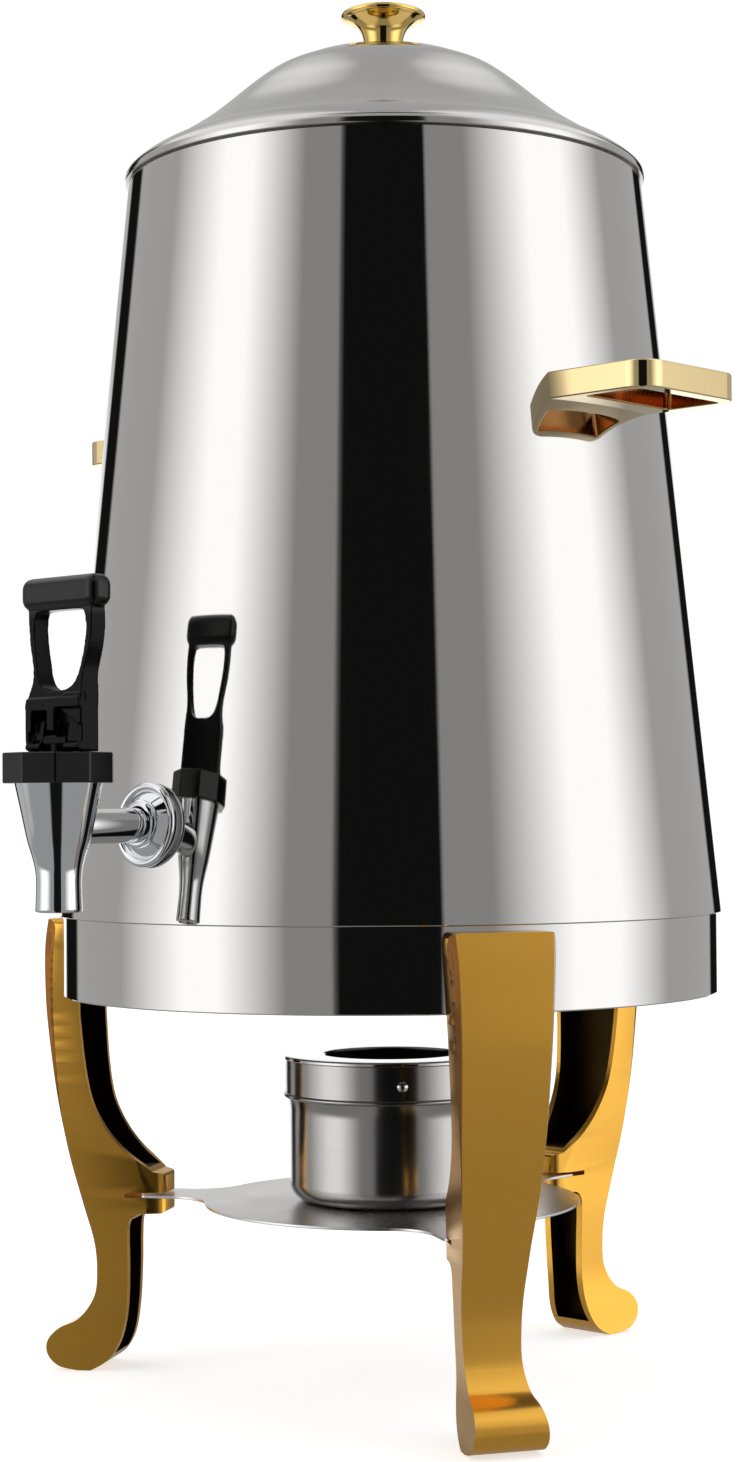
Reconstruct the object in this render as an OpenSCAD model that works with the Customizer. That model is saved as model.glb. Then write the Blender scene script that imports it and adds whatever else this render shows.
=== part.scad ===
// Coffee urn with a double wall, a self-closing tap and a three-legged stand
// over a fuel burner.  Millimetres, +Z up, floor at z = 0, urn axis on x = y = 0,
// tap towards -Y, side handles towards +X and -X.

/* [Urn body] */
// Outside radius of the body at its foot
body_foot_r = 143; // [142:0.5:146]
// Outside radius of the body at its rim
body_rim_r = 111.4; // [111:0.2:114]
// Height of the body's foot above the floor
body_foot_z = 200.6; // [200:0.2:204]
// Height of the body's rim above the floor
body_rim_z = 515.6; // [505:0.2:530]
// Sheet thickness of the outer shell
shell_t = 1; // [0.8:0.1:1.2]
// Air gap between the shell and the tank
jacket_gap = 8; // [7.5:0.5:9]
// Sheet thickness of the tank
tank_t = 0.8; // [0.6:0.1:1]

/* [Stand] */
// Outside radius of the stand ring
ring_r = 141; // [140:0.2:141.4]
// Height of the stand ring
ring_h = 34.1; // [32:0.1:38]
// Sheet thickness of the stand ring
ring_t = 1.5; // [1.2:0.1:1.6]
// Wall thickness of a cast leg
leg_wall = 3; // [2.6:0.1:3.2]
// Height of the shelf plate's upper face
shelf_z = 76.8; // [76.4:0.1:77.2]
// Radius of the shelf plate's round part
shelf_r = 81; // [78:0.5:84]

/* [Burner] */
// Outside radius of the fuel cup
cup_r = 45; // [44:0.1:45]
// Height of the fuel cup
cup_h = 59.6; // [58:0.2:62]
// Radius of the flame hole in the lid of the cup
flame_hole_r = 28.7; // [24:0.1:32]

/* [Lid] */
// Height of the lid's top above the body's rim
lid_h = 57.9; // [55:0.1:60]
// Sheet thickness of the lid
lid_t = 1; // [0.8:0.1:1.2]
// Radius of the knob's disc
knob_r = 18.4; // [16:0.1:20]

/* [Handles] */
// Height of the handles' middle above the floor
handle_z = 412.9; // [380:0.1:440]
// Thickness of a handle
handle_t = 11; // [9.6:0.2:14]
// Distance of a handle's outer face from the urn's axis
handle_reach = 166.3; // [164:0.1:172]
// Width of a handle
handle_w = 62.7; // [60:0.1:70]

/* [Tap] */
// Distance of the tap's upright axis from the urn's axis
tap_reach = 185.5; // [184:0.1:190]
// Height of the tap's spout above the floor
spout_z = 206.5; // [206:0.1:208]
// Height of the shank's axis above the floor
shank_z = 239.4; // [239:0.1:240]
// Corner radius of the ten-sided bonnet
bonnet_r = 22; // [21:0.1:23]
// Height of the lever's grip above the bonnet
grip_rise = 61.6; // [58:0.1:68]
// Lift of the stem for each radian of lever tilt
cam_lift = 2.3; // [2:0.05:2.4]

/* [Hidden] */

steel = [0.78, 0.78, 0.79];
satin_steel = [0.55, 0.54, 0.53];
gold = [0.80, 0.60, 0.22];
black = [0.10, 0.10, 0.11];
silicone = [0.86, 0.86, 0.84];
zinc = [0.62, 0.63, 0.66];

round_fn = 96;
cone_fn = 360;
small_fn = 48;
fit = 0.05;          // radial clearance of a running fit
far = 400;           // longer than any cut needs

// ---------- shared shapes ----------

// outside radius of the body at a height
function shell_r(z) =
    body_foot_r + (z - body_foot_z) * (body_rim_r - body_foot_r) / (body_rim_z - body_foot_z);
wall_tilt = atan((body_foot_r - body_rim_r) / (body_rim_z - body_foot_z));

// points of a smooth curve through the control points p, n steps to each span
function spline(p, n) = [
    for (i = [0 : len(p) - 2]) for (k = [0 : n - 1])
        spline_point(p[max(i - 1, 0)], p[i], p[i + 1], p[min(i + 2, len(p) - 1)], k / n),
    p[len(p) - 1]
];
function spline_point(a, b, c, d, t) =
    0.5 * (2 * b + (c - a) * t + (2 * a - 5 * b + 4 * c - d) * t * t
        + (3 * b - a - 3 * c + d) * t * t * t);

// a curve moved to its right-hand side by d, point by point
function unit(v) = v / norm(v);
function right_of(v) = [v[1], -v[0]];
function shifted(p, d) = [
    for (i = [0 : len(p) - 1])
        p[i] + d * right_of(unit(p[min(i + 1, len(p) - 1)] - p[max(i - 1, 0)]))
];
function reversed(p) = [for (i = [len(p) - 1 : -1 : 0]) p[i]];
function arc(c, r, a0, a1, n) = [
    for (i = [0 : n]) c + r * [cos(a0 + (a1 - a0) * i / n), sin(a0 + (a1 - a0) * i / n)]
];

// the space inside the body's cone, taken in by inset all over
module inside_body(inset, z0, z1)
    translate([0, 0, z0])
        cylinder(r1 = shell_r(z0) - inset, r2 = shell_r(z1) - inset, h = z1 - z0, $fn = cone_fn);

module revolve(points, fn = round_fn) rotate_extrude($fn = fn) polygon(points);

module ring(r_out, r_in, z0, z1, fn = round_fn)
    translate([0, 0, z0]) difference() {
        cylinder(r = r_out, h = z1 - z0, $fn = fn);
        translate([0, 0, -1]) cylinder(r = r_in, h = z1 - z0 + 2, $fn = fn);
    }

// a rectangle with round corners
module rounded(x0, x1, y0, y1, r) {
    translate([x0 + r, y0]) square([x1 - x0 - 2 * r, y1 - y0]);
    translate([x0, y0 + r]) square([x1 - x0, y1 - y0 - 2 * r]);
    for (x = [x0 + r, x1 - r], y = [y0 + r, y1 - r])
        translate([x, y]) circle(r = r, $fn = small_fn);
}

// side view drawn in y and z, given a thickness along x
module across_x(x0, x1) translate([x0, 0, 0]) rotate([90, 0, 90]) linear_extrude(x1 - x0) children();
// front view drawn in x and z, given a thickness along y
module across_y(y0, y1) translate([0, y1, 0]) rotate([90, 0, 0]) linear_extrude(y1 - y0) children();

// ---------- stand ----------

ring_z = body_foot_z - ring_h;
ring_seat_r = 132;
hem_w = 3.5;

module stand_ring()
    color(steel) difference() {
        revolve([
            [ring_r, ring_z], [ring_r, body_foot_z], [ring_seat_r, body_foot_z],
            [ring_seat_r, body_foot_z - ring_t], [ring_r - ring_t, body_foot_z - ring_t],
            [ring_r - ring_t, ring_z + ring_t], [ring_r - hem_w, ring_z + ring_t], [ring_r - hem_w, ring_z]
        ], 128);
        for (a = leg_angles) rotate(a) at_screws(ring_r - 4) cylinder(r = screw_r + fit, h = 8, $fn = small_fn);
    }

leg_angles = [-30, 90, -150];
leg_top_z = 198;

// side view of a leg, distance from the urn's axis and height
leg_front = spline([
    [149.5, leg_top_z], [151.4, 185], [151.5, 165], [150.4, 149], [147, 122], [141.7, 94],
    [136.2, 73], [131.6, 57], [130.4, 44], [131.9, 32], [138.8, 22.3], [147.6, 18], [152.6, 12.6],
    [152.4, 6.6], [147.4, 1.8], [139, 0]
], 5);
leg_back = spline([
    [133, 0], [125.4, 4.6], [120, 13.5], [117.4, 27], [116.6, 44], [116.6, 57], [116, 64.6], [112.8, 68], [105.2, 68.5]
], 5);
// the nose that holds the shelf plate
nose_tip_r = 100;
nose_tip_z = [68.5, 86.1];
nose_corner = 2.5;
nose_end = concat(
    arc([nose_tip_r + nose_corner, nose_tip_z[0] + nose_corner], nose_corner, 270, 180, 4),
    arc([nose_tip_r + nose_corner, nose_tip_z[1] - nose_corner], nose_corner, 180, 100, 4)
);
leg_back_upper = spline([
    [105.2, 86.6], [108.6, 89.4], [117.3, 96.3], [125, 105.5], [131, 117.4], [134.1, 133.5], [136, 155]
], 5);
leg_outline = concat(leg_front, leg_back, nose_end, leg_back_upper, [[136, leg_top_z]]);

// half the leg's width at a height, taken at the distance flank_x from the urn's axis
flank_x = 140;
flank_turn = 9;          // the flanks close in towards the back by this angle
flank_half = spline([
    [15.4, 0], [14.9, 4], [14.4, 10], [13.9, 16], [13.4, 22], [13.3, 30], [13.8, 44], [14.4, 60], [14.9, 77],
    [16.2, 96], [17.7, 120], [18.9, 140], [20.2, 163], [21.3, 180], [22.1, 192], [21.9, 195.4], [20.8, 197.4], [18.6, leg_top_z]
], 3);
// the front edges are bevelled above the nose, most at the top: half the width at bevel_x
bevel_x = 150;
bevel_turn = 26.6;
bevel_foot_z = 77.5;
bevel_half = spline([
    [9, bevel_foot_z], [11.4, 94], [15.4, 120], [18.1, 150], [19.2, 168], [19.8, 185], [19.6, leg_top_z]
], 4);

function mirrored(p) = [for (q = p) [-q[0], q[1]]];
function narrowed(p, d) = [for (q = p) [q[0] - d, q[1]]];

// all within a leg's two flanks, each an upright sheet turned by an angle about the distance x
module between_flanks(x, turn, half)
    intersection_for(s = [0, 1]) mirror([0, s, 0]) translate([x, 0, 0]) rotate(turn) across_x(-far / 4, far / 4)
        polygon(concat([[-far / 8, -1], [half[0][0] * cos(turn), -1]],
            [for (q = half) [q[0] * cos(turn), q[1]]],
            [[half[len(half) - 1][0] * cos(turn), far / 2 + 1], [-far / 8, far / 2 + 1]]));

// the channel cast into the leg's back, in two stretches with the solid nose between them
nose_z = [65.5, 88.5];
channel_top_z = leg_top_z - leg_wall;
leg_inside = [for (q = shifted(leg_front, leg_wall)) if (q[1] > 24 && q[1] < channel_top_z) q];
channel_foot = [[133.5, 17], [132, 11.4], [129.4, 8.2], [125, 7]];

module leg_channel()
    intersection() {
        across_y(-far / 4, far / 4) difference() {
            polygon(concat(leg_inside, channel_foot, [[90, 7], [90, channel_top_z]]));
            translate([90, nose_z[0]]) square([70, nose_z[1] - nose_z[0]]);
        }
        between_flanks(flank_x, flank_turn, narrowed(flank_half, leg_wall));
    }

screw_z = [175, 190];
screw_r = 2;
boss_r = 4.6;

module at_screws(x) for (z = screw_z) translate([x, 0, z]) rotate([0, 90, 0]) children();

slot_h = 2;
slot_end = 117.6;

// plan view of a leg: only the nose's end is rounded off by it
nose_plan = concat([[160, -30], [116, -14]], arc([nose_tip_r + 5, -4.4], 5, 260, 180, 5),
    arc([nose_tip_r + 5, 4.4], 5, 180, 100, 5), [[116, 14], [160, 30]]);

module leg() {
    difference() {
        intersection() {
            across_y(-far / 4, far / 4) polygon(leg_outline);
            between_flanks(flank_x, flank_turn, flank_half);
            between_flanks(bevel_x, -bevel_turn, concat([[40, 0], [40, bevel_foot_z - 0.1]], bevel_half));
            union() {
                linear_extrude(nose_z[1] + 6) polygon(nose_plan);
                translate([60, -40, nose_z[1] + 6]) cube([120, 80, far / 2]);
                translate([112, -40, 0]) cube([68, 80, far / 2]);
            }
        }
        difference() {
            leg_channel();
            at_screws(ring_r) cylinder(r = boss_r, h = 9, $fn = small_fn);
        }
        at_screws(ring_r - 1) cylinder(r = screw_r + fit, h = 8, $fn = small_fn);
        translate([slot_end - 30, -25, shelf_z - shelf_t]) cube([30, 50, slot_h]);
        translate([0, 0, ring_z]) cylinder(r = ring_r, h = far, $fn = 128);
    }
}

module leg_front_right() color(gold) rotate(leg_angles[0]) leg();
module leg_rear() color(gold) rotate(leg_angles[1]) leg();
module leg_front_left() color(gold) rotate(leg_angles[2]) leg();

washer_t = 1;
washer_r = 5.4;
ring_bore = ring_r - ring_t;
washer_x = sqrt(pow(ring_bore, 2) - pow(washer_r, 2)) - washer_t;

module leg_screws()
    color(zinc) for (a = leg_angles) rotate(a) at_screws(washer_x) {
        cylinder(r = screw_r, h = ring_r + 6 - washer_x, $fn = small_fn);
        translate([0, 0, -2.2]) cylinder(r1 = 2.8, r2 = 3.8, h = 2.2, $fn = small_fn);
    }

module leg_washers()
    color(zinc) for (a = leg_angles) rotate(a) at_screws(washer_x) ring(washer_r, screw_r + fit, 0, washer_t, small_fn);

shelf_t = 1.2;
tongue_w = 24;
tongue_end = 110.5;
tongue_fillet = 20;
fillet_u = sqrt(pow(shelf_r + tongue_fillet, 2) - pow(tongue_w / 2 + tongue_fillet, 2));
fillet_v = tongue_w / 2 + tongue_fillet;
fillet_turn = atan2(fillet_v, fillet_u);

function turned(p, a) = [for (q = p) [q[0] * cos(a) - q[1] * sin(a), q[0] * sin(a) + q[1] * cos(a)]];

// a third of the plate's outline: one tongue with its fillets, then the round rim to the next
plate_third = concat(
    arc([fillet_u, -fillet_v], tongue_fillet, 180 - fillet_turn, 90, 8),
    [[tongue_end, -tongue_w / 2], [tongue_end, tongue_w / 2]],
    arc([fillet_u, fillet_v], tongue_fillet, 270, 180 + fillet_turn, 8),
    [for (i = [1 : 23]) let (t = fillet_turn + (120 - 2 * fillet_turn) * i / 24) shelf_r * [cos(t), sin(t)]]
);

module shelf_plate()
    color(satin_steel) translate([0, 0, shelf_z - shelf_t]) linear_extrude(shelf_t)
        polygon([for (a = leg_angles) each turned(plate_third, a)]);

// ---------- burner ----------

cup_t = 0.6;
cup_corner = 8;
cup_top_z = shelf_z + cup_h;
band_z = shelf_z + 44.4;
band_t = 0.9;
bead_r = 1.1;
band_r = cup_r + band_t;
rivet_z = shelf_z + 52.6;
rivet_angles = [-41, 79, 199];
lid_seat_z = cup_top_z + 1.4;

module fuel_cup()
    color(satin_steel) difference() {
        revolve(concat(
            [[0, shelf_z]], arc([cup_r - cup_corner, shelf_z + cup_corner], cup_corner, -90, 0, 10),
            [[cup_r, cup_top_z], [cup_r - cup_t, cup_top_z]],
            arc([cup_r - cup_corner, shelf_z + cup_corner], cup_corner - cup_t, 0, -90, 10),
            [[0, shelf_z + cup_t]]
        ));
        rivet_holes();
    }

module rivet_holes()
    for (a = rivet_angles) rotate(a) translate([cup_r - 4, 0, rivet_z]) rotate([0, 90, 0])
        cylinder(r = 1.25, h = 8, $fn = 32);

// a strip rolled round the cup's mouth, with a bead at its lower edge
module cup_band()
    color(satin_steel) difference() {
        revolve(concat(
            [[cup_r, band_z]], arc([band_r - 0.2, band_z + 1.3], bead_r, -70, 75, 6),
            [
                [band_r, band_z + 3], [band_r, lid_seat_z], [cup_r - cup_t, lid_seat_z],
                [cup_r - cup_t, cup_top_z], [cup_r, cup_top_z]
            ]
        ));
        rivet_holes();
    }

module band_rivets()
    color(steel) for (a = rivet_angles) rotate(a) translate([cup_r - cup_t - 0.7, 0, rivet_z]) rotate([0, 90, 0]) {
        cylinder(r = 2, h = 0.6, $fn = 32);
        cylinder(r = 1.25, h = 2.4, $fn = 32);
        translate([0, 0, cup_t + band_t + 0.75]) rotate_extrude($fn = 32)
            polygon(concat([[0, 0]], arc([0, -1.4], 2.7, 31.2, 90, 6)));
    }

lid_flange_r = 46.6;
lid_plug_r = cup_r - cup_t - 0.5;

module cup_lid()
    color(satin_steel) revolve([
        [flame_hole_r, lid_seat_z], [flame_hole_r, lid_seat_z + 0.9], [flame_hole_r + 1.2, lid_seat_z + 1.7],
        [band_r - 1, lid_seat_z + 1.7], [lid_flange_r, lid_seat_z + 0.9], [lid_flange_r, lid_seat_z],
        [lid_plug_r, lid_seat_z], [lid_plug_r, lid_seat_z - 6], [lid_plug_r - 0.8, lid_seat_z - 6],
        [lid_plug_r - 0.8, lid_seat_z]
    ]);

// ---------- urn body ----------

tank_inset = shell_t + jacket_gap;
base_t = 1.2;
tank_foot_z = body_foot_z + base_t;
tank_corner = 14;
tank_turn_z = tank_foot_z + tank_corner;
tank_turn_r = shell_r(tank_turn_z) - tank_inset;
tank_flat_r = tank_turn_r - tank_corner;
mouth_r = body_rim_r - shell_t - 1.1;
mouth_z = body_rim_z - 17;
neck_z = mouth_z - 7;
rim_t = 0.8;

handle_screw_y = 20;
handle_screw_r = 2.5;
handle_screw_x = 130;

module handle_screw_holes(r)
    for (s = [-1, 1], t = [-1, 1]) translate([s * 100, t * handle_screw_y, handle_z]) rotate([0, s * 90, 0])
        cylinder(r = r, h = handle_screw_x - 100, $fn = small_fn);

module shank_bore(r) translate([0, -100, shank_z]) rotate([90, 0, 0]) cylinder(r = r, h = 55, $fn = small_fn);

module outer_shell()
    color(steel) difference() {
        inside_body(0, body_foot_z, body_rim_z);
        inside_body(shell_t, body_foot_z - 2, body_rim_z + 2);
        handle_screw_holes(handle_screw_r + fit);
        shank_bore(shank_r + fit);
    }

module inner_tank()
    color(satin_steel) difference() {
        revolve(concat(
            [[0, tank_foot_z], [tank_flat_r, tank_foot_z]],
            arc([tank_flat_r, tank_turn_z], tank_corner, -80, 0, 8),
            [
                [shell_r(neck_z) - tank_inset, neck_z], [mouth_r, mouth_z], [mouth_r, body_rim_z],
                [body_rim_r, body_rim_z], [body_rim_r, body_rim_z + rim_t],
                [mouth_r - tank_t, body_rim_z + rim_t], [mouth_r - tank_t, mouth_z],
                [shell_r(neck_z) - tank_inset - tank_t, neck_z]
            ],
            arc([tank_flat_r, tank_turn_z], tank_corner - tank_t, 0, -80, 8),
            [[tank_flat_r, tank_foot_z + tank_t], [0, tank_foot_z + tank_t]]
        ), 128);
        shank_bore(shank_r + fit);
    }

lip_r = ring_seat_r - 0.8;

// closes the jacket at the foot, sits on the stand ring and centres the body in it
module base_ring()
    color(satin_steel) revolve([
        [tank_flat_r - 6, body_foot_z], [lip_r - base_t, body_foot_z], [lip_r - base_t, body_foot_z - 8],
        [lip_r, body_foot_z - 8], [lip_r, body_foot_z], [shell_r(body_foot_z) - shell_t, body_foot_z],
        [shell_r(tank_foot_z) - shell_t, tank_foot_z], [tank_flat_r - 6, tank_foot_z]
    ], 128);

handle_corner = 10.5;
handle_side_w = 4.4;
handle_open_x = [132.5, handle_reach - 7.6];

module handle()
    color(gold) difference() {
        translate([0, 0, handle_z - handle_t / 2]) linear_extrude(handle_t) difference() {
            rounded(100, handle_reach, -handle_w / 2, handle_w / 2, handle_corner);
            rounded(handle_open_x[0], handle_open_x[1], handle_side_w - handle_w / 2,
                handle_w / 2 - handle_side_w, 2.5);
        }
        inside_body(0, handle_z - 20, handle_z + 20);
        handle_screw_holes(handle_screw_r + fit);
    }

module handle_right() handle();
module handle_left() mirror([1, 0, 0]) handle();

backing_t = 1.5;
backing_w = 54;
backing_h = 16;

module handle_backing_plates()
    color(zinc) difference() {
        intersection() {
            difference() {
                inside_body(shell_t, handle_z - 20, handle_z + 20);
                inside_body(shell_t + backing_t, handle_z - 21, handle_z + 21);
            }
            union() for (s = [-1, 1]) translate([s * 115, 0, handle_z]) cube([40, backing_w, backing_h], center = true);
        }
        handle_screw_holes(handle_screw_r + fit);
    }

// a screw's head bears on the plate where the plate stands furthest in
head_r = 4.4;
backing_in_r = shell_r(handle_z + head_r) - shell_t - backing_t;
head_seat_x = sqrt(pow(backing_in_r, 2) - pow(handle_screw_y + head_r, 2));

module handle_screws()
    color(zinc) for (s = [-1, 1], t = [-1, 1])
        translate([s * head_seat_x, t * handle_screw_y, handle_z]) rotate([0, s * 90, 0]) {
            cylinder(r = handle_screw_r, h = handle_screw_x - 1 - head_seat_x, $fn = small_fn);
            translate([0, 0, -2.6]) cylinder(r1 = 3.2, r2 = head_r, h = 2.6, $fn = small_fn);
        }

// ---------- tap ----------

shank_r = 7;
shank_bore_r = 4.6;
chamber_r = 8.8;
seat_z = spout_z + 22.5;
body_top_z = 261.5;
bonnet_foot_z = 256;
bonnet_top_z = 267.7;
bonnet_ceiling_z = 262.5;
thread_r = 14.5;
stem_r = 3;

module tap_axis() translate([0, -tap_reach, 0]) children();

shank_start = tap_reach - chamber_r - 0.6;
shank_end = 113;

module tap_shank()
    color(steel) difference() {
        translate([0, -shank_end, shank_z]) rotate([90, 0, 0])
            cylinder(r = shank_r, h = shank_start - shank_end, $fn = small_fn);
        translate([0, -shank_end + 1, shank_z]) rotate([90, 0, 0])
            cylinder(r = shank_bore_r, h = shank_start - shank_end + 2, $fn = small_fn);
    }

// a collar round the shank, from one distance to another from the urn's axis
module shank_collar(r, y0, y1)
    translate([0, -y0, shank_z]) rotate([90, 0, 0]) ring(r, shank_r + fit, 0, y1 - y0, small_fn);

module wall_spacer()
    color(zinc) difference() {
        intersection() {
            shank_collar(11, 120, 145);
            inside_body(shell_t, shank_z - 20, shank_z + 20);
        }
        inside_body(tank_inset, shank_z - 21, shank_z + 21);
    }

// puts +Z along the body's outward normal where the shank comes out
module on_wall()
    translate([0, -shell_r(shank_z), shank_z]) rotate([90 - wall_tilt, 0, 0]) children();

gasket_face = 0.7;

module outer_gasket()
    color(silicone) difference() {
        on_wall() translate([0, 0, -3]) cylinder(r = 15.4, h = 3 + gasket_face, $fn = small_fn);
        inside_body(0, shank_z - 30, shank_z + 30);
        shank_bore(shank_r + fit);
    }

escutcheon_r = 16.9;

module escutcheon()
    color(steel) difference() {
        on_wall() translate([0, 0, gasket_face]) revolve(concat(
            [[6, 0], [escutcheon_r, 0], [escutcheon_r, 1.2]],
            arc([escutcheon_r - 1.6, 1.4], 1.6, 0, 180, 8),
            [[escutcheon_r - 4.4, 0.9], [10.4, 1.3], [9.6, 5.6], [8.6, 6.4], [6, 6.4]]
        ), 64);
        shank_bore(shank_r + fit);
    }

module inner_gasket()
    color(silicone) intersection() {
        shank_collar(13, 126.2, 145);
        inside_body(tank_inset + tank_t, shank_z - 20, shank_z + 20);
    }

module lock_nut()
    color(zinc) translate([0, -120.2, shank_z]) rotate([90, 0, 0]) difference() {
        cylinder(r = 13.5, h = 6, $fn = 6);
        translate([0, 0, -1]) cylinder(r = shank_r + fit, h = 8, $fn = small_fn);
    }

module tap_body()
    color(steel) tap_axis() difference() {
        revolve(concat(
            [[7.4, spout_z], [8.5, spout_z], [9.2, spout_z + 0.9], [8.9, spout_z + 6]],
            spline([[8.8, 218], [9.2, 223], [10.4, 228], [12.2, 234]], 3),
            [
                [17, bonnet_foot_z], [thread_r, bonnet_foot_z], [thread_r, body_top_z], [chamber_r, body_top_z],
                [chamber_r, seat_z], [4.6, seat_z], [4.6, seat_z - 4], [7.4, seat_z - 8]
            ]
        ), 64);
        translate([0, tap_reach, 0]) translate([0, -100, shank_z]) rotate([90, 0, 0])
            cylinder(r = shank_r + fit, h = tap_reach - 100, $fn = small_fn);
    }

module bonnet_gasket()
    color(silicone) tap_axis() ring(thread_r - 0.2, chamber_r + 0.4, body_top_z, bonnet_ceiling_z, small_fn);

bonnet_turn = -7.2;

module bonnet()
    color(black) tap_axis() difference() {
        intersection() {
            translate([0, 0, bonnet_foot_z]) rotate(bonnet_turn)
                cylinder(r = bonnet_r, h = bonnet_top_z - bonnet_foot_z, $fn = 10);
            revolve([
                [0, bonnet_foot_z], [bonnet_r - 0.9, bonnet_foot_z], [bonnet_r + 0.1, bonnet_foot_z + 1],
                [bonnet_r + 0.1, bonnet_top_z - 1], [bonnet_r - 0.9, bonnet_top_z], [0, bonnet_top_z]
            ], 64);
        }
        translate([0, 0, bonnet_foot_z - 1])
            cylinder(r = thread_r + fit, h = bonnet_ceiling_z - bonnet_foot_z + 1, $fn = small_fn);
        cylinder(r = stem_r + fit, h = far, $fn = small_fn);
    }

seal_t = 2;

module stem_seal()
    color(silicone) tap_axis()
        ring(6.6, stem_r + fit, bonnet_ceiling_z - seal_t, bonnet_ceiling_z, small_fn);

spring_r = 5;
wire_r = 0.5;
spring_turns = 5;
collar_z = 241;
spring_foot_z = collar_z + 2;
spring_top_z = bonnet_ceiling_z - seal_t;

// compression spring with closed end turns, as one swept tube
spring_steps = 18;
function spring_height(t) =
    let (span = spring_top_z - spring_foot_z - 2 * wire_r)
    spring_foot_z + wire_r + span * max(0, min(1, (t - 0.7) / (spring_turns - 1.4)));
spring_rings = [
    for (i = [0 : spring_turns * spring_steps])
        let (t = i / spring_steps, c = [cos(360 * t), sin(360 * t)])
        [for (j = [0 : 7])
            let (r = spring_r + wire_r * cos(45 * j), z = spring_height(t) + wire_r * sin(45 * j))
            [r * c[0], r * c[1], z]]
];
function flat(rows) = [for (row = rows) for (p = row) p];
spring_last = len(spring_rings) - 1;

module tap_spring()
    color(steel) tap_axis() polyhedron(
        points = flat(spring_rings),
        faces = concat(
            [[for (j = [0 : 7]) j]],
            [for (i = [0 : spring_last - 1], j = [0 : 7]) let (k = (j + 1) % 8)
                [i * 8 + j, (i + 1) * 8 + j, (i + 1) * 8 + k, i * 8 + k]],
            [[for (j = [7 : -1 : 0]) spring_last * 8 + j]]
        )
    );

// the lever turns on a pin just behind the stem's axis
heel_h = 4;
cam_gap = 0.3;
pin_y = 1.5 - tap_reach;
pin_z = bonnet_top_z + cam_gap + heel_h;
pin_r = 1.5;
eye_r = 3.7;
eye_half_w = 6.4;

module at_pin(x) translate([x, pin_y, pin_z]) rotate([0, 90, 0]) children();

module stem()
    color(black) difference() {
        union() {
            tap_axis() {
                translate([0, 0, seat_z + 3.5]) cylinder(r = stem_r, h = pin_z - 1 - seat_z - 3.5, $fn = small_fn);
                translate([0, 0, collar_z]) cylinder(r = 6.4, h = 2, $fn = small_fn);
            }
            at_pin(-eye_half_w) cylinder(r = eye_r, h = 2 * eye_half_w, $fn = small_fn);
        }
        at_pin(-far / 2) cylinder(r = pin_r + fit, h = far, $fn = small_fn);
    }

module seat_cup()
    color(silicone) tap_axis() difference() {
        revolve([
            [0, seat_z + 0.1], [6.2, seat_z + 0.1], [7.4, seat_z + 1.3], [7.4, seat_z + 5], [6.2, collar_z], [0, collar_z]
        ], small_fn);
        translate([0, 0, seat_z + 3.5]) cylinder(r = stem_r, h = 20, $fn = small_fn);
    }

// ---------- lever ----------

lever_y = pin_y;         // middle of the lever's fork
grip_y = lever_y + 2.6;
grip_z = bonnet_top_z + grip_rise;
grip_half = 22.3;
fork_half = 16;
fork_y = [lever_y - 5.4, lever_y + 5.2];
fork_top_z = bonnet_top_z + 19.8;
fork_foot_z = bonnet_top_z + cam_gap;
cheek_t = 2.2;
cheek_front = lever_y - 3.4;

// half the width of the lever's frame and of its opening at a height
frame_outside = spline([
    [fork_half, fork_top_z], [15.4, 290.4], [14.7, 294.5], [14.8, 298], [15.4, 301.5], [17.2, 307.5],
    [18.3, 313.5], [18.7, 319], [18.7, grip_z]
], 4);
frame_opening = spline([
    [0, 292.6], [4.8, 293], [8.2, 295], [10.6, 298.4], [12.2, 302], [13.9, 307], [14.9, 312], [15.2, 317],
    [14.4, 321], [11.9, 322.4], [0, 322.6]
], 4);
// side view of the frame: the back edge going up, then the front edge coming down
frame_side = concat(
    spline([[fork_y[1], fork_top_z], [lever_y + 6, 292], [lever_y + 6.4, 300], [lever_y + 6.6, 312],
        [grip_y + 3.6, grip_z]], 4),
    spline([[grip_y - 3.6, grip_z], [lever_y - 0.8, 312], [lever_y - 1.6, 300], [lever_y - 3, 292],
        [fork_y[0], fork_top_z]], 4)
);

module both_sides(half) polygon(concat(half, mirrored(reversed(half))));

module lever_frame()
    intersection() {
        across_y(-far / 2, -far / 4) difference() {
            both_sides(frame_outside);
            both_sides(frame_opening);
        }
        across_x(-30, 30) polygon(frame_side);
    }

grip_r = [5.6, 6.4];     // half the grip's depth and half its height
grip_end_r = 4.5;

// the grip: a stadium in section, with rounded ends
module lever_grip()
    translate([0, grip_y, grip_z]) rotate([0, 90, 0]) for (s = [-1, 1])
        translate([s * (grip_r[1] - grip_r[0]), 0, 0]) revolve(concat(
            [[0, -grip_half]], arc([grip_r[0] - grip_end_r, grip_end_r - grip_half], grip_end_r, -90, 0, 6),
            arc([grip_r[0] - grip_end_r, grip_half - grip_end_r], grip_end_r, 0, 90, 6), [[0, grip_half]]
        ), small_fn);

// the heel rolls on the bonnet and lifts the pin in step with the tilt
heel_end = 44;
heel_curve = [
    for (a = [0 : 4 : heel_end])
        let (h = heel_h + cam_lift * a * PI / 180)
        [lever_y - h * sin(a) - cam_lift * cos(a), pin_z - h * cos(a) + cam_lift * sin(a)]
];
heel_x = eye_half_w + 0.8;

module heel_side()
    polygon(concat(
        [[fork_y[1], fork_foot_z]], heel_curve,
        [[fork_y[0], pin_z - 1.4], [cheek_front, pin_z + 0.6], [lever_y - 2.4, pin_z + 8], [fork_y[1], pin_z + 8]]
    ));

// cheek seen from the side, its lower front corner rounded off
module cheek_side(front)
    polygon(concat(
        [[fork_y[1], fork_foot_z]], arc([front + 4.5, fork_foot_z + 4.7], 4.5, 270, 180, 6),
        [[front, fork_top_z], [fork_y[1], fork_top_z]]
    ));

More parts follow.
